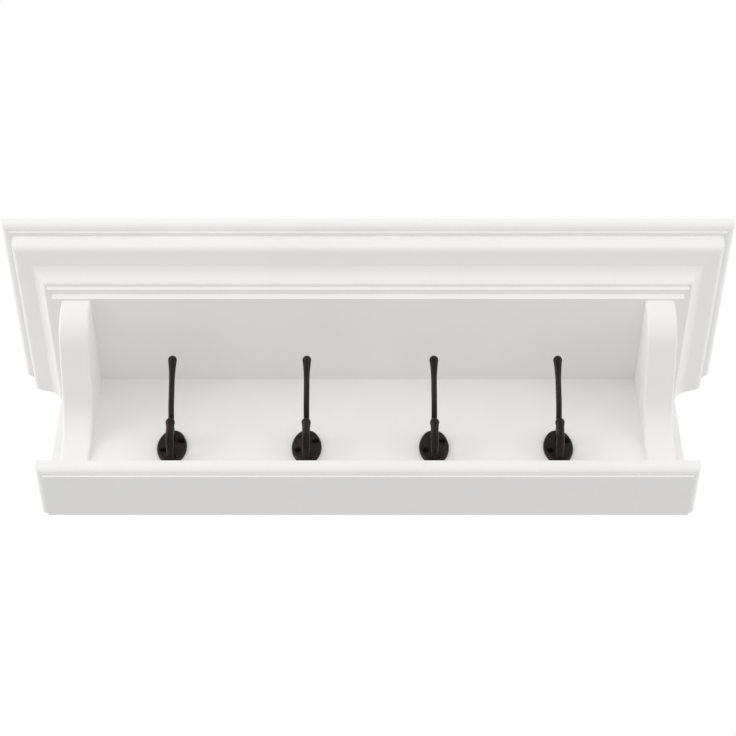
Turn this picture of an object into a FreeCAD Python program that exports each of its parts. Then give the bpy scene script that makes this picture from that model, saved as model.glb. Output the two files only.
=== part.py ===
import FreeCAD, Part
import math
import operator
import os
import Sketcher
from types import SimpleNamespace

# A painted wall shelf with coat hooks. A moulded top board lies on a mitred crown, the crown
# wraps a box of core rails, and two scroll brackets stand between the soffit board and the
# moulded ledge board. Four cast double hooks are screwed to the back panel, and two keyhole
# plates in the hanging rail behind it carry the whole piece on the wall.
# Frame: X along the shelf, +Y into the wall, Z up. The wall is Y = 0, and Z = 0 is the
# hanging line, the top of both keyhole slots.

# Driving sizes in millimetres
LENGTHS = {
    # top board, with the edge moulding that both moulded boards share
    "shelf_length": 700,
    "shelf_depth": 200,
    "top_thickness": 13,
    "edge_round": 6,
    "edge_land": 0.5,
    "edge_fillet": 2.2,
    # mitred crown
    "crown_height": 35,
    "crown_inset": 10.4,
    "crown_overhang": 3,
    # box of core rails inside the crown
    "box_overhang": 50,
    "rail_thickness": 18,
    # stepped soffit board
    "soffit_thickness": 12,
    "soffit_upper_lip": 6,
    "soffit_upper_height": 4.5,
    "soffit_lower_lip": 1,
    # back: the panel in front of a frame of rails and stiles
    "hang_drop": 25,
    "panel_height": 125,
    "panel_thickness": 18,
    "frame_depth": 26,
    "hanging_rail_height": 60,
    "batten_height": 30,
    "stile_width": 40,
    # ledge board
    "ledge_overhang": 11.2,
    "ledge_depth": 60,
    "ledge_thickness": 15,
    # scroll brackets
    "bracket_thickness": 28,
    "bracket_setback": 8,
    "bracket_fore_setback": 1,
    "bracket_foot": 3.2,
    "bracket_round": 2.5,
    # coat hooks
    "hook_height": 31,
    "plate_width": 28.5,
    "plate_height": 43,
    "plate_thickness": 3.5,
    "plate_round": 2.2,
    "upper_reach": 58,
    "upper_root": 9,
    "upper_rise": 52,
    "upper_girth": 2.75,
    "upper_knob": 4.3,
    "lower_reach": 30,
    "lower_root": 14,
    "lower_rise": 19,
    "lower_girth": 3.75,
    "lower_knob": 4.5,
    "hook_screw_aside": 8.1,
    "hook_screw_rise": 6,
    "hook_screw_head": 7,
    "hook_screw_shank": 3.5,
    "hook_screw_length": 16,
    "cross_width": 1,
    "cross_span": 4,
    "cross_depth": 0.9,
    # keyhole plates that hang the shelf
    "hanger_inset": 60,
    "hanger_width": 16,
    "hanger_height": 40,
    "hanger_rise": 12,
    "hanger_thickness": 1.5,
    "keyhole_entry": 9,
    "keyhole_slot": 4.5,
    "keyhole_cavity_depth": 9,
    "keyhole_cavity_margin": 0.5,
    "hanger_screw_head": 5.5,
    "hanger_screw_shank": 2.8,
    "hanger_screw_length": 12,
    "hanger_screw_inset": 5,
    # screws through the back frame into the panel
    "frame_screw_head": 8,
    "frame_screw_shank": 4,
    "frame_screw_length": 36,
    # dowels
    "dowel_diameter": 8,
    "dowel_length": 24,
    "dowel_bite": 10,
    # clearances
    "hole_clearance": 0.1,
    "end_clearance": 0.5,
    "seat_clearance": 0.2,
    "cut_overrun": 5,
}

# Crown outline from its foot up: inwards share of the spread, downwards share of the height,
# and the turn in degrees of the stretch that ends there
CROWN_SHARES = (
    (1, 1, 0),
    (0.948, 0.943, 0),
    (0.64, 0.614, -46),
    (0.1765, 0.5, 0),
    (0.021, 0.326, 72),
    (0, 0, 0),
)

# Scroll bracket: face height, nose radius and cove radius as shares of its height, and headings
# in degrees below the level
BRACKET_FACE_SHARE = 0.05
BRACKET_NOSE_SHARE = 0.3
BRACKET_COVE_SHARE = 0.4
BRACKET_SLOPE_DEGREES = 23
BRACKET_SHIN_DEGREES = 87

# Hook arms: how far each turns up from the level, the root flare as shares of the reach and of
# the girth, and the share of the straight end that widens to the knob
UPPER_ARM = SimpleNamespace(turn_degrees=60, root_share=0.1, flare_share=1.8, tip_share=0.55)
LOWER_ARM = SimpleNamespace(turn_degrees=70, root_share=0.3, flare_share=1.5, tip_share=1)

# Radius of the hook plate's round ends, as a share of its width
PLATE_END_SHARE = 0.386

# Drop of a keyhole's entry, as a share of the way from the hanging line to the lower screw's head
KEYHOLE_ENTRY_SHARE = 0.4444

# Places along the box length, as shares of it, measured from the middle
HOOK_PLACE_SHARES = (-0.3117, -0.0975, 0.105, 0.3025)
FRONT_DOWEL_SHARES = (-0.33, 0, 0.33)
BACK_DOWEL_SHARES = (-0.25, 0.25)
RAIL_SCREW_SHARES = (-0.2, 0, 0.2)
BATTEN_SCREW_SHARES = (-0.3, 0, 0.3)
LEDGE_DOWEL_SHARES = (-0.4, -0.13, 0.13, 0.4)

# Places along the depth or the height of the piece that carries them
SIDE_DOWEL_SHARE = 0.4
RAIL_SCREW_SHARE = 0.25
STILE_SCREW_SHARE = 0.68
BRACKET_TOP_DOWEL_SHARES = (0.3, 0.75)
BRACKET_BACK_DOWEL_SHARES = (0.16, 0.42)

# How far a mitre cut runs on past both ends of the mitre, as a share of its length
MITRE_OVERRUN_SHARE = 0.15

OPERATIONS = {"+": operator.add, "-": operator.sub, "*": operator.mul, "/": operator.truediv}


class Size:
    """A length, kept as a number and as a formula over the sheet, so that features stay bound."""

    def __init__(self, number, formula):
        self.number = number
        self.formula = formula

    def joined(self, sign, other, swapped=False):
        if not isinstance(other, Size):
            other = Size(float(other), repr(float(other)))
        first, second = (other, self) if swapped else (self, other)
        number = OPERATIONS[sign](first.number, second.number)
        return Size(number, f"({first.formula} {sign} {second.formula})")

    def __add__(self, other):
        return self.joined("+", other)

    def __radd__(self, other):
        return self.joined("+", other, swapped=True)

    def __sub__(self, other):
        return self.joined("-", other)

    def __rsub__(self, other):
        return self.joined("-", other, swapped=True)

    def __mul__(self, other):
        return self.joined("*", other)

    def __rmul__(self, other):
        return self.joined("*", other, swapped=True)

    def __truediv__(self, other):
        return self.joined("/", other)

    def __neg__(self):
        return self * -1


def span(start, end):
    """The distance between two points of a sketch."""
    across = end[0] - start[0]
    along = end[1] - start[1]
    number = math.hypot(across.number, along.number)
    return Size(number, f"sqrt({across.formula} ^ 2 + {along.formula} ^ 2)")


document = FreeCAD.newDocument("wall_shelf")
sheet = document.addObject("Spreadsheet::Sheet", "Sizes")
for row, (name, length) in enumerate(LENGTHS.items(), start=1):
    sheet.set(f"A{row}", name)
    sheet.set(f"B{row}", str(length))
    sheet.setAlias(f"B{row}", name)
document.recompute()

size = SimpleNamespace()
for name in LENGTHS:
    setattr(size, name, Size(float(sheet.get(name)), f"Sizes.{name}"))
zero = size.shelf_length * 0

# Levels and faces worked out from the driving sizes
shelf_half = size.shelf_length / 2
box_half = shelf_half - size.box_overhang
box_length = box_half * 2
box_depth = size.shelf_depth - size.box_overhang
soffit_bottom = size.hang_drop
soffit_top = soffit_bottom + size.soffit_thickness
crown_top = soffit_top + size.crown_height
ledge_top = soffit_bottom - size.panel_height
ledge_bottom = ledge_top - size.ledge_thickness
panel_face = size.frame_depth + size.panel_thickness
stile_inner = box_half - size.stile_width
hanger_aside = stile_inner - size.hanger_inset
hook_level = ledge_top + size.hook_height
hanger_middle = size.hanger_rise - size.hanger_height / 2
hanger_lower_screw = size.hanger_height - size.hanger_rise - size.hanger_screw_inset
keyhole_run = hanger_lower_screw - size.hanger_screw_head / 2
keyhole_centre = zero - keyhole_run * KEYHOLE_ENTRY_SHARE
dowel_rest = size.dowel_length - size.dowel_bite
bracket_middle = box_half - size.bracket_setback - size.bracket_thickness / 2
bracket_front = box_depth - size.bracket_fore_setback
bracket_depth = bracket_front - panel_face

pieces = []


def new_body(name):
    """A named piece, to be built up from sketches."""
    body = document.addObject("PartDesign::Body", name)
    body.Label = name
    pieces.append(body)
    return body


def new_sketch(body, name, plane, level):
    """A sketch on an origin plane of the body, moved by level along the plane's normal."""
    sketch = body.newObject("Sketcher::SketchObject", name)
    support = next(item for item in body.Origin.OriginFeatures if item.Role == plane)
    sketch.AttachmentSupport = [(support, "")]
    sketch.MapMode = "FlatFace"
    sketch.setExpression("AttachmentOffset.Base.z", level.formula)
    return sketch


def bind(sketch, constraint, length):
    """Add a dimension to the sketch and bind it to its formula."""
    index = sketch.addConstraint(constraint)
    sketch.setExpression(f"Constraints[{index}]", length.formula)


def pin(sketch, item, end, point):
    """Fix one end of a sketched line or arc at a point."""
    bind(sketch, Sketcher.Constraint("DistanceX", item, end, point[0].number), point[0])
    bind(sketch, Sketcher.Constraint("DistanceY", item, end, point[1].number), point[1])


def flat(point):
    return FreeCAD.Vector(point[0].number, point[1].number, 0)


def arc_through(start, end, turn, radius):
    """The arc from start to end that turns by the given degrees, left if positive."""
    first, last = (start, end) if turn > 0 else (end, start)
    chord = last - first
    left = FreeCAD.Vector(-chord.y, chord.x, 0).normalize()
    centre = (first + last) / 2 + left * (radius * math.cos(math.radians(abs(turn) / 2)))
    return Part.Arc(first, centre - left * radius, last)


def draw_loop(sketch, corners):
    """Close a loop through corners (x, y) or (x, y, turn), where turn bends the stretch before."""
    first = sketch.GeometryCount
    ends = []
    for index, corner in enumerate(corners):
        before = corners[index - 1]
        turn = corner[2] if len(corner) > 2 else 0
        if turn:
            radius = span(before, corner) / (2 * math.sin(math.radians(abs(turn) / 2)))
            curve = arc_through(flat(before), flat(corner), turn, radius.number)
            item = sketch.addGeometry(curve)
            bind(sketch, Sketcher.Constraint("Radius", item, radius.number), radius)
        else:
            item = sketch.addGeometry(Part.LineSegment(flat(before), flat(corner)))
        ends.append((2, 1) if turn < 0 else (1, 2))
        pin(sketch, item, ends[-1][1], corner)
    for index in range(len(corners)):
        following = (index + 1) % len(corners)
        join = (first + index, ends[index][1], first + following, ends[following][0])
        sketch.addConstraint(Sketcher.Constraint("Coincident", *join))


def draw_circles(sketch, centres, diameter):
    """Draw one circle of the given diameter at each centre."""
    for centre in centres:
        circle = Part.Circle(flat(centre), FreeCAD.Vector(0, 0, 1), diameter.number / 2)
        item = sketch.addGeometry(circle)
        pin(sketch, item, 3, centre)
        bind(sketch, Sketcher.Constraint("Diameter", item, diameter.number), diameter)


def pad(body, name, plane, level, corners, length, both_ways=False):
    """Raise a closed outline along the plane's normal, or half each way."""
    sketch = new_sketch(body, f"{name}_outline", plane, level)
    draw_loop(sketch, corners)
    feature = body.newObject("PartDesign::Pad", name)
    feature.Profile = sketch
    feature.SideType = "Symmetric" if both_ways else "One side"
    feature.setExpression("Length", length.formula)
    document.recompute()
    return feature


def pocket(body, name, sketch, depth, along_normal):
    """Sink the sketch into the body, and make sure that it took something away."""
    before = body.Shape.Volume
    feature = body.newObject("PartDesign::Pocket", name)
    feature.Profile = sketch
    feature.Reversed = along_normal
    feature.setExpression("Length", depth.formula)
    document.recompute()
    if body.Shape.Volume >= before:
        raise ValueError(f"{name} took nothing from {body.Label}")
    return feature


def cut_loops(body, name, plane, level, loops, depth, along_normal):
    """Sink closed outlines into the body."""
    sketch = new_sketch(body, f"{name}_outline", plane, level)
    for corners in loops:
        draw_loop(sketch, corners)
    return pocket(body, name, sketch, depth, along_normal)


def bore(body, name, plane, level, centres, diameter, depth, along_normal):
    """Sink round holes into the body."""
    sketch = new_sketch(body, f"{name}_outline", plane, level)
    draw_circles(sketch, centres, diameter)
    return pocket(body, name, sketch, depth, along_normal)


def rectangle(left, right, low, high):
    return [(left, low), (right, low), (right, high), (left, high)]


def plain_board(name, left, right, front, back, low, high):
    """A square-edged board, from its faces; front and back are distances from the wall."""
    body = new_body(name)
    corners = rectangle(left, right, -front, -back)
    pad(body, f"{name}_block", "XY_Plane", low, corners, high - low)
    return body


def edge(profile, half, side):
    """An edge profile, listed from its foot up, set against a half length or a depth."""
    return [((half - inset) * side, height, turn * side) for inset, height, turn in profile]


def moulded_board(name, half, depth, profile):
    """A board whose edge profile runs along its front and returns along both ends."""
    low = profile[0][1]
    high = profile[-1][1]
    over = size.cut_overrun
    body = new_body(name)
    front = edge(profile, depth, -1)
    corners = [(zero, low)] + front + [(zero, high)]
    pad(body, f"{name}_length", "YZ_Plane", zero, corners, half * 2, both_ways=True)
    loops = []
    for side in (-1, 1):
        outline = edge(profile, half, side)
        outside = (half + over) * side
        loop = [(outside, low - over), (outline[0][0], low - over)]
        loop += outline
        loop += [(outline[-1][0], high + over), (outside, high + over)]
        loops.append(loop)
    cut_loops(body, f"{name}_ends", "XZ_Plane", -over, loops, depth + over * 2, True)
    return body


def moulded_edge(low, thickness):
    """The board moulding: a small fillet, a quarter round above it and an upright face."""
    fillet_inset = size.edge_round + size.edge_land
    fillet_top = low + size.edge_fillet
    return [
        (fillet_inset, low, 0),
        (fillet_inset, fillet_top, 0),
        (size.edge_round, fillet_top, 0),
        (zero, fillet_top + size.edge_round, 90),
        (zero, low + thickness, 0),
    ]


# Dowel and screw places, shared by each hole and what fills it
rail_middle = size.rail_thickness / 2
front_dowels = [(share * box_length, rail_middle - box_depth) for share in FRONT_DOWEL_SHARES]
back_dowels = [(share * box_length, -rail_middle) for share in BACK_DOWEL_SHARES]
side_dowels = {side: [((box_half - rail_middle) * side, -box_depth * SIDE_DOWEL_SHARE)]
               for side in (-1, 1)}
box_dowels = front_dowels + back_dowels + side_dowels[-1] + side_dowels[1]
bracket_top_dowels = [
    (bracket_middle * side, -(panel_face + bracket_depth * share))
    for side in (-1, 1)
    for share in BRACKET_TOP_DOWEL_SHARES
]
bracket_back_dowels = [
    (bracket_middle * side, soffit_bottom - size.panel_height * share)
    for side in (-1, 1)
    for share in BRACKET_BACK_DOWEL_SHARES
]
ledge_dowels = [
    (share * box_length, -(size.frame_depth + size.panel_thickness / 2))
    for share in LEDGE_DOWEL_SHARES
]
rail_screws = [
    (share * box_length, soffit_bottom - size.hanging_rail_height * RAIL_SCREW_SHARE)
    for share in RAIL_SCREW_SHARES
]
batten_screws = [
    (share * box_length, ledge_top + size.batten_height / 2)
    for share in BATTEN_SCREW_SHARES
]
stile_screws = {
    side: [
        (
            (box_half - size.stile_width / 2) * side,
            soffit_bottom - size.panel_height * STILE_SCREW_SHARE,
        )
    ]
    for side in (-1, 1)
}
frame_screws = rail_screws + batten_screws + stile_screws[-1] + stile_screws[1]
hook_places = [(share * box_length, hook_level) for share in HOOK_PLACE_SHARES]
hook_screws = [
    (across + size.hook_screw_aside * side, level + size.hook_screw_rise * side)
    for across, level in hook_places
    for side in (-1, 1)
]
hanger_screws = {
    side: [
        (hanger_aside * side, size.hanger_rise - size.hanger_screw_inset),
        (hanger_aside * side, -hanger_lower_screw),
    ]
    for side in (-1, 1)
}
dowel_hole = size.dowel_diameter + size.hole_clearance * 2
bite_hole = size.dowel_bite + size.end_clearance
rest_hole = dowel_rest + size.end_clearance


def bore_plane(body, name, level, centres, depth, upwards):
    """Dowel holes that run up or down from a level."""
    bore(body, name, "XY_Plane", level, centres, dowel_hole, depth, upwards)


# Top board
top_edge = moulded_edge(crown_top, size.top_thickness)
top_board = moulded_board("top_board", shelf_half, size.shelf_depth, top_edge)
bore_plane(top_board, "top_dowel_holes", crown_top, box_dowels, bite_hole, True)

# Crown, in three mitred pieces
crown_reach = size.box_overhang - size.crown_inset
crown_foot_share = (size.soffit_upper_lip + size.crown_overhang) / crown_reach
mitre_out = 1 + MITRE_OVERRUN_SHARE
crown_out = box_half + crown_reach * mitre_out
crown_fore = box_depth + crown_reach * mitre_out
crown_in = box_half - crown_reach * MITRE_OVERRUN_SHARE
crown_aft = box_depth - crown_reach * MITRE_OVERRUN_SHARE


def cut_mitre(body, name, side, along_x):
    """Cut the corner away on the far side of the mitre, for the front or the end piece."""
    outer = (crown_out * side, -crown_fore)
    inner = (crown_in * side, -crown_aft)
    waste = (crown_out * side, -crown_aft) if along_x else (crown_in * side, -crown_fore)
    level = crown_top + size.cut_overrun
    depth = size.crown_height + size.cut_overrun * 2
    cut_loops(body, name, "XY_Plane", level, [[outer, inner, waste]], depth, False)


def crown_section(back, reach, side):
    """The crown's section, standing out by a reach from its flat back against the box."""
    spread = reach - reach * crown_foot_share
    profile = [
        (spread * inwards - reach, crown_top - size.crown_height * down, turn)
        for inwards, down, turn in CROWN_SHARES
    ]
    outline = edge(profile, back, side)
    return outline + [(back * side, crown_top), (back * side, soffit_top)]


crown_front = new_body("crown_front")
front_section = crown_section(box_depth, crown_reach, -1)
front_length = (box_half + crown_reach) * 2
pad(crown_front, "crown_front_length", "YZ_Plane", zero, front_section, front_length, True)
cut_mitre(crown_front, "crown_front_mitre_left", -1, True)
cut_mitre(crown_front, "crown_front_mitre_right", 1, True)
for end, side in (("left", -1), ("right", 1)):
    crown_end = new_body(f"crown_{end}")
    end_section = crown_section(box_half, crown_reach, side)
    end_length = box_depth + crown_reach
    pad(crown_end, f"crown_{end}_length", "XZ_Plane", zero, end_section, end_length)
    cut_mitre(crown_end, f"crown_{end}_mitre", side, False)

# Box of core rails
rail_inner = box_half - size.rail_thickness
rail_front = plain_board(
    "core_rail_front", -box_half, box_half, box_depth,
    box_depth - size.rail_thickness, soffit_top, crown_top,
)
rail_back = plain_board(
    "core_rail_back", -rail_inner, rail_inner, size.rail_thickness, zero, soffit_top, crown_top
)
rail_left = plain_board(
    "core_rail_left", -box_half, -rail_inner, box_depth - size.rail_thickness, zero,
    soffit_top, crown_top,
)
rail_right = plain_board(
    "core_rail_right", rail_inner, box_half, box_depth - size.rail_thickness, zero,
    soffit_top, crown_top,
)
for rail, places in (
    (rail_front, front_dowels),
    (rail_back, back_dowels),
    (rail_left, side_dowels[-1]),
    (rail_right, side_dowels[1]),
):
    bore_plane(rail, f"{rail.Label}_upper_holes", crown_top, places, rest_hole, False)
    bore_plane(rail, f"{rail.Label}_lower_holes", soffit_top, places, rest_hole, True)

# Soffit board with its two steps
soffit_lower_inset = size.box_overhang - size.soffit_lower_lip
soffit_upper_inset = size.box_overhang - size.soffit_upper_lip
soffit_step = soffit_top - size.soffit_upper_height
soffit_board = moulded_board(
    "soffit_board",
    shelf_half,
    size.shelf_depth,
    [
        (soffit_lower_inset, soffit_bottom, 0),
        (soffit_lower_inset, soffit_step, 0),
        (soffit_upper_inset, soffit_step, 0),
        (soffit_upper_inset, soffit_top, 0),
    ],
)
bore_plane(soffit_board, "soffit_upper_holes", soffit_top, box_dowels, bite_hole, False)
bore_plane(soffit_board, "soffit_lower_holes", soffit_bottom, bracket_top_dowels, bite_hole, True)

# Back panel
back_panel = plain_board(
    "back_panel", -box_half, box_half, panel_face, size.frame_depth, ledge_top, soffit_bottom
)
hook_pilot = size.hook_screw_shank + size.hole_clearance * 2
hook_pilot_depth = size.hook_screw_length - size.plate_thickness + size.end_clearance
bore(back_panel, "hook_pilots", "XZ_Plane", panel_face, hook_screws, hook_pilot,
     hook_pilot_depth, False)
bore(back_panel, "bracket_back_holes", "XZ_Plane", panel_face, bracket_back_dowels,
     dowel_hole, bite_hole, False)
bore_plane(back_panel, "ledge_rest_holes", ledge_top, ledge_dowels, rest_hole, True)
frame_pilot = size.frame_screw_shank + size.hole_clearance * 2
frame_pilot_depth = size.frame_screw_length - size.frame_depth + size.end_clearance
bore(back_panel, "frame_pilots", "XZ_Plane", size.frame_depth, frame_screws, frame_pilot,
     frame_pilot_depth, True)


def countersink(body, name, centres, level, head, shank, depth):
    """Holes for countersunk screws driven in from the wall side, through the whole depth."""
    bore(body, f"{name}_bores", "XZ_Plane", level, centres, shank + size.hole_clearance * 2,
         depth, True)
    mouth = (head - shank) / 2
    before = body.Shape.Volume
    hole_edges = []
    for number, item in enumerate(body.Shape.Edges, start=1):
        circle = item.Curve
        if not isinstance(circle, Part.Circle):
            continue
        at_face = abs(circle.Center.y + level.number) < size.hole_clearance.number / 2
        fits = abs(circle.Radius * 2 - shank.number - size.hole_clearance.number * 2)
        if at_face and fits < size.hole_clearance.number / 2:
            hole_edges.append(f"Edge{number}")
    drilled = body.Tip
    feature = body.newObject("PartDesign::Chamfer", f"{name}_mouths")
    feature.Base = (drilled, hole_edges)
    feature.setExpression("Size", mouth.formula)
    document.recompute()
    if body.Shape.Volume >= before:
        raise ValueError(f"{name} has no countersinks")


# Frame behind the panel
hanging_rail = plain_board(
    "hanging_rail", -stile_inner, stile_inner, size.frame_depth, zero,
    soffit_bottom - size.hanging_rail_height, soffit_bottom,
)
countersink(hanging_rail, "rail_screw", rail_screws, zero, size.frame_screw_head,
            size.frame_screw_shank, size.frame_depth)
lower_batten = plain_board(
    "lower_batten", -stile_inner, stile_inner, size.frame_depth, zero, ledge_top,
    ledge_top + size.batten_height,
)
countersink(lower_batten, "batten_screw", batten_screws, zero, size.frame_screw_head,
            size.frame_screw_shank, size.frame_depth)
for end, side in (("left", -1), ("right", 1)):
    edges = sorted((stile_inner * side, box_half * side), key=lambda place: place.number)
    stile = plain_board(
        f"end_stile_{end}", *edges, size.frame_depth, zero, ledge_top, soffit_bottom
    )
    countersink(stile, f"stile_screw_{end}", stile_screws[side], zero, size.frame_screw_head,
                size.frame_screw_shank, size.frame_depth)


def stadium(middle, centre, width, height):
    """An upright slot shape with round ends, as a loop."""
    half = width / 2
    top = centre + height / 2
    bottom = centre - height / 2
    return [
        (middle + half, bottom + half, 90),
        (middle + half, top - half),
        (middle, top, 90),
        (middle - half, top - half, 90),
        (middle - half, bottom + half),
        (middle, bottom, 90),
    ]


# Keyhole plates, let into the back of the hanging rail over a cavity for the screw heads
recess_width = size.hanger_width + size.seat_clearance * 2
recess_height = size.hanger_height + size.seat_clearance * 2
cavity_half = size.keyhole_entry / 2 + size.keyhole_cavity_margin
cavity_depth = size.hanger_thickness + size.keyhole_cavity_depth
slot_half = size.keyhole_slot / 2
recess_loops = []
cavity_loops = []
for side in (-1, 1):
    middle = hanger_aside * side
    recess_loops.append(stadium(middle, hanger_middle, recess_width, recess_height))
    cavity_loops.append(
        rectangle(
            middle - cavity_half, middle + cavity_half,
            keyhole_centre - cavity_half, cavity_half - slot_half,
        )
    )
cut_loops(hanging_rail, "hanger_recess", "XZ_Plane", zero, recess_loops,
          size.hanger_thickness, True)
cut_loops(hanging_rail, "hanger_cavity", "XZ_Plane", zero, cavity_loops, cavity_depth, True)
hanger_pilot = size.hanger_screw_shank + size.hole_clearance * 2
hanger_pilot_depth = size.hanger_screw_length + size.end_clearance
bore(hanging_rail, "hanger_pilots", "XZ_Plane", zero, hanger_screws[-1] + hanger_screws[1],
     hanger_pilot, hanger_pilot_depth, True)
for end, side in (("left", -1), ("right", 1)):
    name = f"hanger_plate_{end}"
    middle = hanger_aside * side
    hanger_plate = new_body(name)
    outline = stadium(middle, hanger_middle, size.hanger_width, size.hanger_height)
    pad(hanger_plate, f"{name}_blank", "XZ_Plane", zero, outline, size.hanger_thickness)
    bore(hanger_plate, f"{name}_entry", "XZ_Plane", zero, [(middle, keyhole_centre)],
         size.keyhole_entry, size.hanger_thickness, True)
    slot = [
        (middle - slot_half, keyhole_centre),
        (middle + slot_half, keyhole_centre),
        (middle + slot_half, -slot_half),
        (middle, zero, 90),
        (middle - slot_half, -slot_half, 90),
    ]
    cut_loops(hanger_plate, f"{name}_slot", "XZ_Plane", zero, [slot],
              size.hanger_thickness, True)
    countersink(hanger_plate, f"{name}_screw", hanger_screws[side], zero,
                size.hanger_screw_head, size.hanger_screw_shank, size.hanger_thickness)

# Ledge board
ledge_edge = moulded_edge(ledge_bottom, size.ledge_thickness)
ledge_board = moulded_board(
    "ledge_board", box_half + size.ledge_overhang, size.ledge_depth, ledge_edge
)
bore_plane(ledge_board, "ledge_bite_holes", ledge_top, ledge_dowels, bite_hole, False)


def along(point, length, degrees):
    """The point this far on, on a heading so many degrees below the level towards the wall."""
    angle = math.radians(degrees)
    return (point[0] + length * math.cos(angle), point[1] - length * math.sin(angle))


def bracket_outline():
    """The scroll seen from the end: an upright face, a nose, a slope, a cove and a thin shin."""
    slope, shin = BRACKET_SLOPE_DEGREES, BRACKET_SHIN_DEGREES
    nose_turn = 90 - slope
    cove_turn = shin - slope
    nose = size.panel_height * BRACKET_NOSE_SHARE
    face_foot = (-bracket_front, soffit_bottom - size.panel_height * BRACKET_FACE_SHARE)
    nose_chord = nose * (2 * math.sin(math.radians(nose_turn / 2)))
    nose_end = along(face_foot, nose_chord, 90 - nose_turn / 2)
    foot = (-panel_face - size.bracket_foot, ledge_top)
    reach = (foot[0] - nose_end[0], nose_end[1] - foot[1])
    shin_share = math.sin(math.radians(shin)) / math.sin(math.radians(cove_turn))
    drop_share = math.cos(math.radians(shin)) / math.sin(math.radians(cove_turn))
    slope_length = reach[0] * shin_share - reach[1] * drop_share
    meeting = along(nose_end, slope_length, slope)
    setback = size.panel_height * (BRACKET_COVE_SHARE * math.tan(math.radians(cove_turn / 2)))
    return [
        (-bracket_front, soffit_bottom),
        face_foot,
        (*nose_end, nose_turn),
        along(meeting, -setback, slope),
        (*along(meeting, setback, shin), -cove_turn),
        foot,
        (-panel_face, ledge_top),
        (-panel_face, soffit_bottom),
    ]


# Scroll brackets
for end, side in (("left", -1), ("right", 1)):
    name = f"bracket_{end}"
    bracket = new_body(name)
    pad(bracket, f"{name}_blank", "YZ_Plane", bracket_middle * side, bracket_outline(),
        size.bracket_thickness, both_ways=True)
    behind = -panel_face.number - size.hole_clearance.number
    ends = (ledge_top.number, soffit_bottom.number)
    arrises = []
    for number, item in enumerate(bracket.Shape.Edges, start=1):
        box = item.BoundBox
        level_edge = any(
            abs(box.ZMin - level) + abs(box.ZMax - level) < size.hole_clearance.number
            for level in ends
        )
        if box.XLength < size.hole_clearance.number and box.YMin < behind and not level_edge:
            arrises.append(f"Edge{number}")
    blank = bracket.Tip
    rounding = bracket.newObject("PartDesign::Fillet", f"{name}_arrises")
    rounding.Base = (blank, arrises)
    rounding.setExpression("Radius", size.bracket_round.formula)
    document.recompute()
    tops = [place for place in bracket_top_dowels if place[0].number * side > 0]
    backs = [place for place in bracket_back_dowels if place[0].number * side > 0]
    bore_plane(bracket, f"{name}_top_holes", soffit_bottom, tops, rest_hole, False)
    bore(bracket, f"{name}_back_holes", "XZ_Plane", panel_face, backs, dowel_hole,
         rest_hole, True)


def add_shape(name, shape):
    """A named piece, or a group of like pieces, from a finished shape."""
    piece = document.addObject("Part::Feature", name)
    piece.Label = name
    piece.Shape = shape
    pieces.append(piece)
    return piece


OUT = FreeCAD.Vector(0, -1, 0)
UP = FreeCAD.Vector(0, 0, 1)
TOWARDS_WALL = FreeCAD.Vector(0, 1, 0)


def round_face(place, heading, radius):
    return Part.Face(Part.Wire(Part.Circle(place, heading, radius).toShape()))


def trumpet(place, heading, length, wide, narrow):
    """A round stretch that is wide at its place and narrows until its wall runs along it."""
    curve = (length ** 2 + (wide - narrow) ** 2) / (2 * (wide - narrow))
    half_sweep = math.asin(length / curve) / 2
    across = FreeCAD.Vector(1, 0, 0)
    mouth = place + across * wide
    end = place + heading * length
    waist = (
        end
        - heading * (curve * math.sin(half_sweep))
        + across * (narrow + curve * (1 - math.cos(half_sweep)))
    )
    rim = end + across * narrow
    wall = Part.Arc(mouth, waist, rim).toShape()
    sides = Part.makePolygon([rim, end, place, mouth])
    profile = Part.Face(Part.Wire([wall] + sides.Edges))
    return profile.revolve(place, heading, 360)


def arm(start, reach, rise, girth, knob, form):
    """A round arm with a knob: a flared root, one bend up from the level and a widening end."""
    sine = math.sin(math.radians(form.turn_degrees))
    cosine = math.cos(math.radians(form.turn_degrees))
    root = reach * form.root_share
    radius = ((reach - root) * sine - rise * cosine) / (1 - cosine)
    straight = (rise - radius * (1 - cosine)) / sine
    heading = OUT * cosine + UP * sine
    bend_start = start + OUT * root
    bend_end = bend_start + OUT * (radius * sine) + UP * (radius * (1 - cosine))
    widening = straight * form.tip_share
    tip = bend_end + heading * straight
    turning = OUT.cross(UP)
    bend = round_face(bend_start, OUT, girth).revolve(
        bend_start + UP * radius, turning, form.turn_degrees
    )
    stretches = [
        trumpet(start, OUT, root, girth * form.flare_share, girth),
        bend,
        trumpet(tip, -heading, widening, knob, girth),
        Part.makeSphere(knob, tip, heading),
    ]
    if form.tip_share < 1:
        stretches.append(Part.makeCylinder(girth, straight - widening, bend_end, heading))
    return stretches


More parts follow.
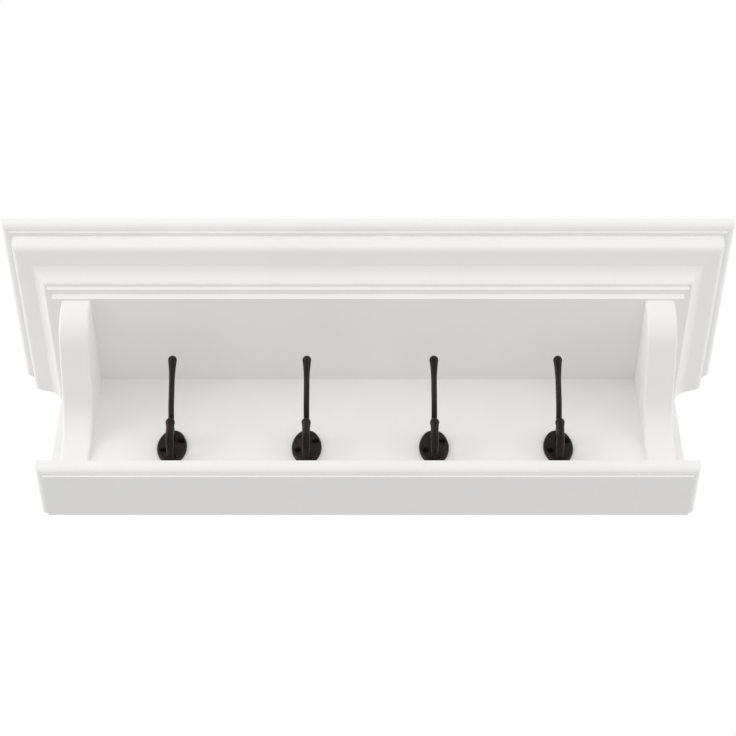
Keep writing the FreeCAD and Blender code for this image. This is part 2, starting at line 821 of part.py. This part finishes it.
def oval_plate():
    """The hook's plate: an oval of four tangent arcs with a rounded rim."""
    thickness = size.plate_thickness.number
    half_width = size.plate_width.number / 2
    half_height = size.plate_height.number / 2
    end_radius = size.plate_width.number * PLATE_END_SHARE
    end_centre = half_height - end_radius
    excess = end_centre ** 2 + half_width ** 2 - end_radius ** 2
    side_centre = excess / (2 * (half_width - end_radius)) - half_width
    share = end_radius / math.hypot(side_centre, end_centre)
    shoulder = (side_centre * share, end_centre * (1 + share))
    corners = [FreeCAD.Vector(shoulder[0] * across, 0, shoulder[1] * up)
               for across, up in ((1, -1), (1, 1), (-1, 1), (-1, -1))]
    crests = [FreeCAD.Vector(half_width, 0, 0), FreeCAD.Vector(0, 0, half_height),
              FreeCAD.Vector(-half_width, 0, 0), FreeCAD.Vector(0, 0, -half_height)]
    arcs = [Part.Arc(corners[index], crest, corners[(index + 1) % 4]).toShape()
            for index, crest in enumerate(crests)]
    plate = Part.Face(Part.Wire(arcs)).extrude(OUT * thickness)
    rim = [item for item in plate.Edges if item.BoundBox.YMax < -thickness / 2]
    return plate.makeFillet(size.plate_round.number, rim)


def screw_hole(place, head, shank, thickness):
    """The countersunk hole of one screw through a plate whose front face is at the place."""
    clearance = size.hole_clearance.number
    reach = (head - shank) / 2
    bore_shape = Part.makeCylinder(shank / 2 + clearance, thickness * 2, place, TOWARDS_WALL)
    mouth = Part.makeCone(head / 2 + clearance, shank / 2 + clearance, reach, place, TOWARDS_WALL)
    return bore_shape.fuse(mouth)


def coat_hook():
    """The cast double hook: the oval plate with an upper and a lower arm."""
    thickness = size.plate_thickness.number
    inside = OUT * (thickness / 2)
    upper_reach = size.upper_reach.number - thickness / 2
    lower_reach = size.lower_reach.number - thickness / 2
    upper = arm(inside + UP * size.upper_root.number, upper_reach, size.upper_rise.number,
                size.upper_girth.number, size.upper_knob.number, UPPER_ARM)
    lower = arm(inside - UP * size.lower_root.number, lower_reach, size.lower_rise.number,
                size.lower_girth.number, size.lower_knob.number, LOWER_ARM)
    casting = oval_plate().multiFuse(upper + lower)
    holes = []
    for side in (-1, 1):
        aside = FreeCAD.Vector(size.hook_screw_aside.number * side, 0, 0)
        place = aside + UP * (size.hook_screw_rise.number * side) + OUT * thickness
        holes.append(screw_hole(
            place, size.hook_screw_head.number, size.hook_screw_shank.number, thickness
        ))
    return casting.cut(Part.makeCompound(holes)).removeSplitter()


hook_shape = coat_hook()
for number, (across, level) in enumerate(hook_places, start=1):
    hook = add_shape(f"coat_hook_{number}", hook_shape.copy())
    hook.Placement.Base = FreeCAD.Vector(0, -panel_face.number, 0)
    hook.setExpression("Placement.Base.x", across.formula)
    hook.setExpression("Placement.Base.y", (-panel_face).formula)
    hook.setExpression("Placement.Base.z", level.formula)


def screw(head, shank, length, heading):
    """A countersunk screw from its head's face at the origin."""
    origin = FreeCAD.Vector(0, 0, 0)
    shaft = Part.makeCylinder(shank / 2, length, origin, heading)
    cone = Part.makeCone(head / 2, shank / 2, (head - shank) / 2, origin, heading)
    return shaft.fuse(cone).removeSplitter()


def cross_recess():
    """The cross slot in the head of a hook screw that is driven towards the wall."""
    slot_length = size.cross_span.number
    width = size.cross_width.number
    depth = size.cross_depth.number
    upright = Part.makeBox(width, depth, slot_length,
                           FreeCAD.Vector(-width / 2, 0, -slot_length / 2))
    level = Part.makeBox(slot_length, depth, width,
                         FreeCAD.Vector(-slot_length / 2, 0, -width / 2))
    return upright.fuse(level).removeSplitter()


def screw_group(name, solid, places, face):
    """Copies of a screw at places (x, z), with their heads flush in the face at this distance."""
    copies = []
    for across, level in places:
        copy = solid.copy()
        copy.translate(FreeCAD.Vector(across.number, -face.number, level.number))
        copies.append(copy)
    return add_shape(name, Part.makeCompound(copies))


hook_screw = screw(size.hook_screw_head.number, size.hook_screw_shank.number,
                   size.hook_screw_length.number, TOWARDS_WALL).cut(cross_recess())
hanger_screw = screw(size.hanger_screw_head.number, size.hanger_screw_shank.number,
                     size.hanger_screw_length.number, OUT)
frame_screw = screw(size.frame_screw_head.number, size.frame_screw_shank.number,
                    size.frame_screw_length.number, OUT)
screw_group("hook_screws", hook_screw, hook_screws, panel_face + size.plate_thickness)
screw_group("hanger_screws", hanger_screw, hanger_screws[-1] + hanger_screws[1], zero)
screw_group("frame_screws", frame_screw, frame_screws, zero)


def dowel(start, heading):
    """A dowel from its start along its heading."""
    return Part.makeCylinder(
        size.dowel_diameter.number / 2, size.dowel_length.number, start, heading
    )


def upright_dowels(name, places, levels):
    """Upright dowels that start at each of the levels."""
    return add_shape(name, Part.makeCompound([
        dowel(FreeCAD.Vector(across.number, along.number, level.number), UP)
        for across, along in places
        for level in levels
    ]))


upright_dowels("top_dowels", box_dowels, [crown_top - dowel_rest])
upright_dowels("soffit_dowels", box_dowels, [soffit_top - size.dowel_bite])
upright_dowels("ledge_dowels", ledge_dowels, [ledge_top - size.dowel_bite])
bracket_dowels = [
    dowel(FreeCAD.Vector(across.number, along.number, (soffit_bottom - dowel_rest).number), UP)
    for across, along in bracket_top_dowels
]
bracket_dowels += [
    dowel(
        FreeCAD.Vector(across.number, (size.dowel_bite - panel_face).number, level.number), OUT
    )
    for across, level in bracket_back_dowels
]
add_shape("bracket_dowels", Part.makeCompound(bracket_dowels))

# Last recompute, then the state of every object and the shape of every piece
document.recompute()
for item in document.Objects:
    if "Invalid" in item.State or "Error" in item.State:
        raise ValueError(f"{item.Label} is {item.State}")
for piece in pieces:
    if piece.Shape.isNull() or not piece.Shape.isValid():
        raise ValueError(f"{piece.Label} has no valid shape")

os.makedirs("parts", exist_ok=True)
for piece in pieces:
    piece.Shape.exportStep(f"parts/{piece.Label}.step")
    print(piece.Label, len(piece.Shape.Solids), round(piece.Shape.Volume / 1000, 2), "cm3")
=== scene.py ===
import math

import bpy
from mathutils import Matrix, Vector


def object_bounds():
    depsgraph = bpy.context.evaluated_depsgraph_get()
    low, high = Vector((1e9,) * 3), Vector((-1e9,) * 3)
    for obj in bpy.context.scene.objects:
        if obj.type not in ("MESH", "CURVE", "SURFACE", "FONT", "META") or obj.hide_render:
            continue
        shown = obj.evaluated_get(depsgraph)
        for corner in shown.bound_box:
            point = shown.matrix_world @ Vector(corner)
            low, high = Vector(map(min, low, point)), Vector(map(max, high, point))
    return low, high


# A white wall shelf with a moulded crown, scroll brackets and four dark double coat hooks,
# seen from in front and far below. Metres, in the part's own frame: the wall is Y = 0.

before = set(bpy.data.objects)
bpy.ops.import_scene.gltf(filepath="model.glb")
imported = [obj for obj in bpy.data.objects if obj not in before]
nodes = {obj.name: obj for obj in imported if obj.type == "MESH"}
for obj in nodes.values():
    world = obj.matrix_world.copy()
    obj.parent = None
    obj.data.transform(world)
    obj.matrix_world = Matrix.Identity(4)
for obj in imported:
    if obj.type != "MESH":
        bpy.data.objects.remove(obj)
cad_low, cad_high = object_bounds()

MM = 0.001
WHITE = (1, 1, 1, 1)

# The camera that the shelf's converging edges give
CAMERA_PLACE = (0, -1340.8 * MM, -1292.0 * MM)
CAMERA_PITCH = math.radians(45.782)
CAMERA_LEVEL = math.radians(90)
CAMERA_LENS = 91.22
SENSOR_WIDTH = 36

# Arrises of the boards, softly broken by sanding
ARRIS_WIDTH = 0.5 * MM
ARRIS_SEGMENTS = 2
ARRIS_ANGLE = math.radians(28)

# White paint: clouds a hand wide, brushed streaks along the grain, and fine peel
PAINT_STOPS = ((0.3, (0.876, 0.866, 0.862)), (0.7, (0.9, 0.89, 0.886)))
PAINT_CLOUDS = {"scale": 9, "detail": 3}
PAINT_STREAKS = {"scale": 420, "detail": 5, "roughness": 0.6}
PAINT_PEEL = {"scale": 900, "detail": 2}
PAINT_ROUGHNESS = (0.36, 0.5)
PAINT_IOR = 1.47
STREAK_BUMP = {"strength": 0.12, "distance": 0.12 * MM}
PEEL_BUMP = {"strength": 0.1, "distance": 0.06 * MM}

# Bare wood: growth bands, with darker pores over them
WOOD_STOPS = ((0.3, (0.56, 0.39, 0.22)), (0.5, (0.66, 0.48, 0.29)), (0.68, (0.72, 0.55, 0.36)))
PORE_STOPS = ((0.35, (0.78, 0.72, 0.66)), (0.6, (1, 1, 1)))
WOOD_BANDS = {"scale": 60, "detail": 3, "roughness": 0.55}
WOOD_PORES = {"scale": 900, "detail": 6, "roughness": 0.7}
WOOD_ROUGHNESS = (0.55, 0.75)
PORE_BUMP = {"strength": 0.3, "distance": 0.15 * MM}

# Dark bronze: near black, with red-brown patches that are smoother, and cast pits
BRONZE_STOPS = (
    (0.38, (0.011, 0.009, 0.0084)),
    (0.56, (0.017, 0.0135, 0.0124)),
    (0.74, (0.045, 0.032, 0.028)),
)
BRONZE_PATCHES = {"scale": 70, "detail": 5, "roughness": 0.62}
BRONZE_PITS = {"scale": 850, "detail": 3}
BRONZE_ROUGHNESS = (0.36, 0.24)
BRONZE_METALLIC = 0.25
BRONZE_TINT = (0.72, 0.65, 0.63, 1)
PIT_BUMP = {"strength": 0.28, "distance": 0.1 * MM}

# Zinc plate, with a fine rolled grain
ZINC_STOPS = ((0.3, (0.5, 0.51, 0.53)), (0.7, (0.64, 0.65, 0.66)))
ZINC_GRAIN = {"scale": 900, "detail": 4}
ZINC_STRETCH = (1, 1, 0.06)
ZINC_ROUGHNESS = (0.3, 0.45)
ZINC_BUMP = {"strength": 0.15, "distance": 0.05 * MM}

# Grain stretched along X for boards, along Y for end pieces and along Z for uprights
EVEN = (1, 1, 1)
ALONG_X = (0.05, 1, 1)
ALONG_Y = (1, 0.05, 1)
ALONG_Z = (1, 1, 0.05)

# Pale floor far below the shelf
FLOOR_DROP = 2.2
FLOOR_SIZE = 12
FLOOR_COLOUR = (0.82, 0.82, 0.82, 1)
FLOOR_ROUGHNESS = 0.9

# Light that the surroundings give, from straight below to straight above
LIGHT_BELOW = 1.38
LIGHT_ABOVE = 0.58

# Soft square lamps: place, size and watts
MIDDLE = ((cad_low[0] + cad_high[0]) / 2, (cad_low[1] + cad_high[1]) / 2)
LAMPS = {
    "key_left": ((-2.2, -1.35, 0.15), 1.5, 18),
    "fill_right": ((2.3, -1.5, -0.2), 1.8, 12),
    "overhead": ((*MIDDLE, 1.5), 1.2, 5),
}


def new_material(name):
    """An empty node material with its shader and output."""
    material = bpy.data.materials.new(name)
    material.use_nodes = True
    tree = material.node_tree
    tree.nodes.clear()
    shader = tree.nodes.new("ShaderNodeBsdfPrincipled")
    output = tree.nodes.new("ShaderNodeOutputMaterial")
    tree.links.new(shader.outputs["BSDF"], output.inputs["Surface"])
    return material, tree, shader


def stretched_place(tree, scale):
    """Object coordinates, drawn out by a scale along each axis."""
    place = tree.nodes.new("ShaderNodeTexCoord")
    mapping = tree.nodes.new("ShaderNodeMapping")
    mapping.inputs["Scale"].default_value = scale
    tree.links.new(place.outputs["Object"], mapping.inputs["Vector"])
    return mapping.outputs["Vector"]


def noise(tree, vector, scale, detail, roughness=0.5):
    """A noise texture's grey value."""
    texture = tree.nodes.new("ShaderNodeTexNoise")
    texture.inputs["Scale"].default_value = scale
    texture.inputs["Detail"].default_value = detail
    texture.inputs["Roughness"].default_value = roughness
    tree.links.new(vector, texture.inputs["Vector"])
    return texture.outputs["Fac"]


def ramp(tree, value, stops):
    """A colour ramp over a grey value, from (position, colour) stops."""
    node = tree.nodes.new("ShaderNodeValToRGB")
    elements = node.color_ramp.elements
    while len(elements) < len(stops):
        elements.new(0.5)
    for element, (position, colour) in zip(elements, stops):
        element.position = position
        element.color = (*colour, 1)
    tree.links.new(value, node.inputs["Fac"])
    return node.outputs["Color"]


def spread(tree, value, low, high, start=0):
    """A value that runs from start to 1, spread from low to high."""
    node = tree.nodes.new("ShaderNodeMapRange")
    node.inputs["From Min"].default_value = start
    node.inputs["To Min"].default_value = low
    node.inputs["To Max"].default_value = high
    tree.links.new(value, node.inputs["Value"])
    return node.outputs["Result"]


def bump(tree, height, strength, distance, normal=None):
    """A bump from a height, laid over another normal if there is one."""
    node = tree.nodes.new("ShaderNodeBump")
    node.inputs["Strength"].default_value = strength
    node.inputs["Distance"].default_value = distance
    tree.links.new(height, node.inputs["Height"])
    if normal is not None:
        tree.links.new(normal, node.inputs["Normal"])
    return node.outputs["Normal"]


def white_paint(name, grain):
    """Satin white paint over wood: faint clouding, brushed streaks along the grain and peel."""
    material, tree, shader = new_material(name)
    plain = stretched_place(tree, EVEN)
    along = stretched_place(tree, grain)
    clouds = noise(tree, plain, **PAINT_CLOUDS)
    streaks = noise(tree, along, **PAINT_STREAKS)
    peel = noise(tree, plain, **PAINT_PEEL)
    tree.links.new(ramp(tree, clouds, PAINT_STOPS), shader.inputs["Base Color"])
    tree.links.new(spread(tree, streaks, *PAINT_ROUGHNESS), shader.inputs["Roughness"])
    brushed = bump(tree, streaks, **STREAK_BUMP)
    surface = bump(tree, peel, normal=brushed, **PEEL_BUMP)
    tree.links.new(surface, shader.inputs["Normal"])
    shader.inputs["IOR"].default_value = PAINT_IOR
    return material


def bare_wood(name, grain):
    """Planed pale wood: growth bands, fine pores and a dry sheen."""
    material, tree, shader = new_material(name)
    along = stretched_place(tree, grain)
    bands = noise(tree, along, **WOOD_BANDS)
    pores = noise(tree, along, **WOOD_PORES)
    mix = tree.nodes.new("ShaderNodeMix")
    mix.data_type = "RGBA"
    mix.blend_type = "MULTIPLY"
    mix.inputs["Factor"].default_value = 1
    tree.links.new(ramp(tree, bands, WOOD_STOPS), mix.inputs["A"])
    tree.links.new(ramp(tree, pores, PORE_STOPS), mix.inputs["B"])
    tree.links.new(mix.outputs["Result"], shader.inputs["Base Color"])
    tree.links.new(spread(tree, pores, *WOOD_ROUGHNESS), shader.inputs["Roughness"])
    tree.links.new(bump(tree, pores, **PORE_BUMP), shader.inputs["Normal"])
    return material


def dark_bronze(name, colour_share, sheen):
    """Oil-rubbed cast metal: near black, with red-brown patches and a pitted, uneven sheen."""
    material, tree, shader = new_material(name)
    place = stretched_place(tree, EVEN)
    patches = noise(tree, place, **BRONZE_PATCHES)
    pits = noise(tree, place, **BRONZE_PITS)
    # A colour share below 1 darkens the whole ramp. The screws use this as painted shade,
    # standing in for the shadow in their countersinks.
    stops = [
        (position, tuple(colour_share * channel for channel in colour))
        for position, colour in BRONZE_STOPS
    ]
    tree.links.new(ramp(tree, patches, stops), shader.inputs["Base Color"])
    shader.inputs["Metallic"].default_value = BRONZE_METALLIC
    shader.inputs["Specular IOR Level"].default_value = sheen
    shader.inputs["Specular Tint"].default_value = BRONZE_TINT
    tree.links.new(spread(tree, patches, *BRONZE_ROUGHNESS), shader.inputs["Roughness"])
    tree.links.new(bump(tree, pits, **PIT_BUMP), shader.inputs["Normal"])
    return material


def zinc(name):
    """Bright zinc plate with a fine rolled grain."""
    material, tree, shader = new_material(name)
    rolled = noise(tree, stretched_place(tree, ZINC_STRETCH), **ZINC_GRAIN)
    tree.links.new(ramp(tree, rolled, ZINC_STOPS), shader.inputs["Base Color"])
    shader.inputs["Metallic"].default_value = 1
    tree.links.new(spread(tree, rolled, *ZINC_ROUGHNESS), shader.inputs["Roughness"])
    tree.links.new(bump(tree, rolled, **ZINC_BUMP), shader.inputs["Normal"])
    return material


paint_x = white_paint("white_paint_long", ALONG_X)
paint_y = white_paint("white_paint_end", ALONG_Y)
paint_z = white_paint("white_paint_upright", ALONG_Z)
wood_x = bare_wood("bare_wood_long", ALONG_X)
wood_y = bare_wood("bare_wood_end", ALONG_Y)
wood_z = bare_wood("bare_wood_upright", ALONG_Z)
hook_bronze = dark_bronze("hook_bronze", colour_share=1, sheen=0.28)
# Screws painted much darker than the hooks: painted shade for their shadowed countersinks, not
# a darker metal
screw_bronze_painted_shade = dark_bronze("screw_bronze_painted_shade", colour_share=0.3, sheen=0.08)
zinc_plate = zinc("zinc_plate")

FINISHES = {
    "top_board": paint_x,
    "crown_front": paint_x,
    "crown_left": paint_y,
    "crown_right": paint_y,
    "soffit_board": paint_x,
    "back_panel": paint_x,
    "ledge_board": paint_x,
    "bracket_left": paint_z,
    "bracket_right": paint_z,
    "end_stile_left": paint_z,
    "end_stile_right": paint_z,
    "core_rail_front": wood_x,
    "core_rail_back": wood_x,
    "core_rail_left": wood_y,
    "core_rail_right": wood_y,
    "hanging_rail": wood_x,
    "lower_batten": wood_x,
    "top_dowels": wood_z,
    "soffit_dowels": wood_z,
    "ledge_dowels": wood_z,
    "bracket_dowels": wood_z,
    "coat_hook_1": hook_bronze,
    "coat_hook_2": hook_bronze,
    "coat_hook_3": hook_bronze,
    "coat_hook_4": hook_bronze,
    "hook_screws": screw_bronze_painted_shade,
    "hanger_plate_left": zinc_plate,
    "hanger_plate_right": zinc_plate,
    "hanger_screws": zinc_plate,
    "frame_screws": zinc_plate,
}
BROKEN_EDGES = (
    "top_board", "crown_front", "crown_left", "crown_right", "soffit_board", "back_panel",
    "ledge_board", "end_stile_left", "end_stile_right", "hanging_rail", "lower_batten",
)


def finish(piece, material):
    """Give a piece its material in every slot."""
    for slot in piece.material_slots:
        slot.material = material


def break_edges(piece):
    """Round the sharp arrises of a board a little."""
    modifier = piece.modifiers.new("arrises", "BEVEL")
    modifier.width = ARRIS_WIDTH
    modifier.segments = ARRIS_SEGMENTS
    modifier.limit_method = "ANGLE"
    modifier.angle_limit = ARRIS_ANGLE
    modifier.use_clamp_overlap = True
    modifier.harden_normals = True


for name, material in FINISHES.items():
    finish(nodes[name], material)
for name in BROKEN_EDGES:
    break_edges(nodes[name])


def pale_floor(level):
    """A flat square floor at a level."""
    half = FLOOR_SIZE / 2
    square = ((-half, -half), (half, -half), (half, half), (-half, half))
    corners = [(x, y, level) for x, y in square]
    mesh = bpy.data.meshes.new("floor")
    mesh.from_pydata(corners, [], [tuple(range(len(corners)))])
    material, _, shader = new_material("pale_floor")
    shader.inputs["Base Color"].default_value = FLOOR_COLOUR
    shader.inputs["Roughness"].default_value = FLOOR_ROUGHNESS
    mesh.materials.append(material)
    piece = bpy.data.objects.new("floor", mesh)
    bpy.context.scene.collection.objects.link(piece)
    return piece


def greater(tree, first, second):
    """The greater of two values."""
    node = tree.nodes.new("ShaderNodeMath")
    node.operation = "MAXIMUM"
    tree.links.new(first, node.inputs[0])
    tree.links.new(second, node.inputs[1])
    return node.outputs["Value"]


def seen_share(tree):
    """1 for rays from the camera, from glossy surfaces and through clear ones, else 0."""
    rays = tree.nodes.new("ShaderNodeLightPath").outputs
    direct = greater(tree, rays["Is Camera Ray"], rays["Is Glossy Ray"])
    return greater(tree, direct, rays["Is Transmission Ray"])


def surroundings():
    """White where they are seen. The light that they give fades from below to above."""
    world = bpy.data.worlds.new("surroundings")
    world.use_nodes = True
    tree = world.node_tree
    tree.nodes.clear()
    heading = tree.nodes.new("ShaderNodeTexCoord")
    parts = tree.nodes.new("ShaderNodeSeparateXYZ")
    tree.links.new(heading.outputs["Generated"], parts.inputs["Vector"])
    given = tree.nodes.new("ShaderNodeBackground")
    given.inputs["Color"].default_value = WHITE
    strength = spread(tree, parts.outputs["Z"], LIGHT_BELOW, LIGHT_ABOVE, start=-1)
    tree.links.new(strength, given.inputs["Strength"])
    seen = tree.nodes.new("ShaderNodeBackground")
    seen.inputs["Color"].default_value = WHITE
    seen.inputs["Strength"].default_value = 1
    blend = tree.nodes.new("ShaderNodeMixShader")
    tree.links.new(seen_share(tree), blend.inputs["Fac"])
    tree.links.new(given.outputs["Background"], blend.inputs[1])
    tree.links.new(seen.outputs["Background"], blend.inputs[2])
    output = tree.nodes.new("ShaderNodeOutputWorld")
    tree.links.new(blend.outputs["Shader"], output.inputs["Surface"])
    return world


def soft_lamp(name, place, size, power):
    """A square area lamp aimed at the middle of the shelf, at the hanging line."""
    lamp = bpy.data.lights.new(name, "AREA")
    lamp.size = size
    lamp.energy = power
    aim = Vector((*MIDDLE, 0)) - Vector(place)
    holder = bpy.data.objects.new(name, lamp)
    holder.location = place
    holder.rotation_euler = aim.to_track_quat("-Z", "Y").to_euler()
    bpy.context.scene.collection.objects.link(holder)


floor = pale_floor(cad_low[2] - FLOOR_DROP)
bpy.context.scene.world = surroundings()
for name, (place, size, power) in LAMPS.items():
    soft_lamp(name, place, size, power)

# Camera at the photograph's place
view = bpy.data.cameras.new("camera")
view.lens = CAMERA_LENS
view.sensor_width = SENSOR_WIDTH
camera = bpy.data.objects.new("camera", view)
camera.location = CAMERA_PLACE
camera.rotation_euler = (CAMERA_LEVEL + CAMERA_PITCH, 0, 0)
bpy.context.scene.collection.objects.link(camera)
bpy.context.scene.camera = camera

bpy.context.scene.view_settings.view_transform = "Standard"
